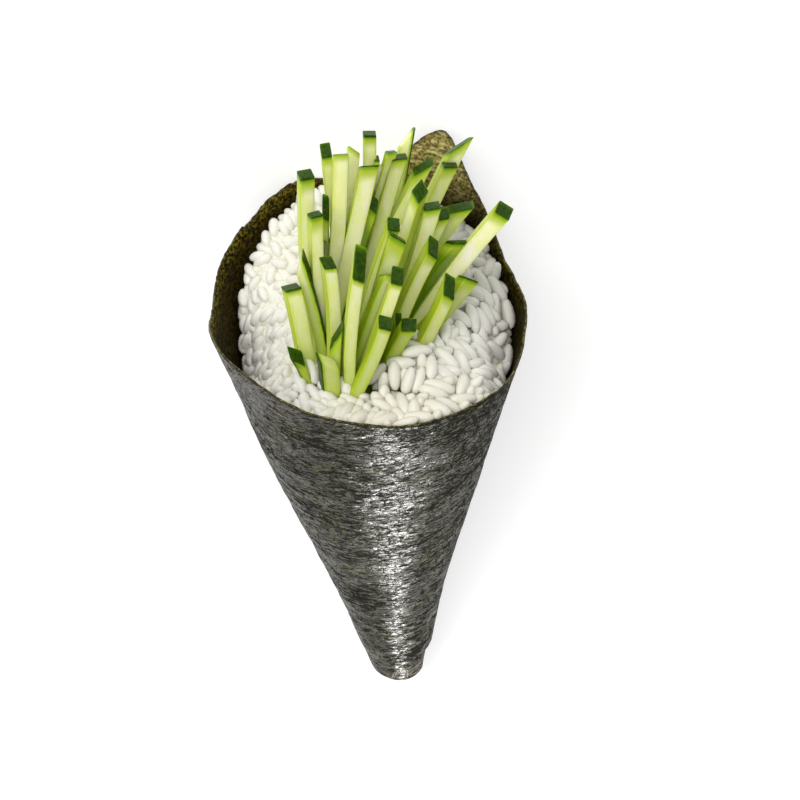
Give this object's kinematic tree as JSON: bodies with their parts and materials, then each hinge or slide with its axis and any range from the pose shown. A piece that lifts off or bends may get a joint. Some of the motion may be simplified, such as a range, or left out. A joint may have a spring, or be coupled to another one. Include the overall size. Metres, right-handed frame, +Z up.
{
  "type": "temaki hand roll",
  "caption": "Nori cone filled with white sushi rice and a bundle of cucumber sticks, lying on its back with the shown side up.",
  "frame": {"origin": "middle of the small flat spot on the cone's back, on the table under the balance point", "axes": "+Z up, away from the table; +Y along the roll towards the cone's tip, so the mouth faces -Y; the shown side of the cone is up"},
  "size_m": [0.0622, 0.1326, 0.0597],
  "materials": {
    "nori": "toasted seaweed, dark grey-green, faintly glossy",
    "rice": "cooked short-grain rice, moist",
    "cucumber": "fresh cut cucumber, moist"
  },
  "bodies": {
    "root": {"nori_wrap": "nori", "rice_filling": "rice", "cucumber_bundle": "cucumber"}
  },
  "joints": []
}
